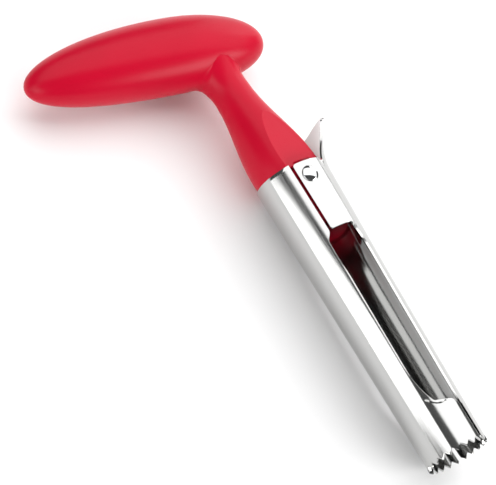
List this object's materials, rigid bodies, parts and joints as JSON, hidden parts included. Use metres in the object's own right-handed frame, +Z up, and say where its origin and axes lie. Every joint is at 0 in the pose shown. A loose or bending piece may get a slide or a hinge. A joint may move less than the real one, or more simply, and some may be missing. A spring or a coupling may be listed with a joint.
{
  "type": "apple corer",
  "caption": "Hinged apple corer: toothed split steel tube with a thumb tab and rivet, on a crimson egg-shaped cross handle.",
  "frame": {"origin": "middle of the bounding box's base, on the surface that the corer lies on", "axes": "+X along the tube towards the toothed mouth, +Y towards the thumb tab, +Z up, along the rivet"},
  "size_m": [0.2058, 0.1024, 0.0309],
  "materials": {
    "crimson_plastic": "semi-gloss moulded",
    "polished_steel": "polished",
    "rivet_steel": "polished"
  },
  "bodies": {
    "handle_body": {"handle": "crimson_plastic", "rear_shell": "polished_steel", "hinge_rivet": "rivet_steel"},
    "jaw_body": {"jaw": "polished_steel"}
  },
  "joints": [
    {"name": "jaw_hinge", "type": "hinge", "parent": "handle_body", "child": "jaw_body", "pos_m": [-0.01642, 0.02813, 0.01545], "axis": [0, 0, 1], "range_deg": [0, 8]}
  ]
}
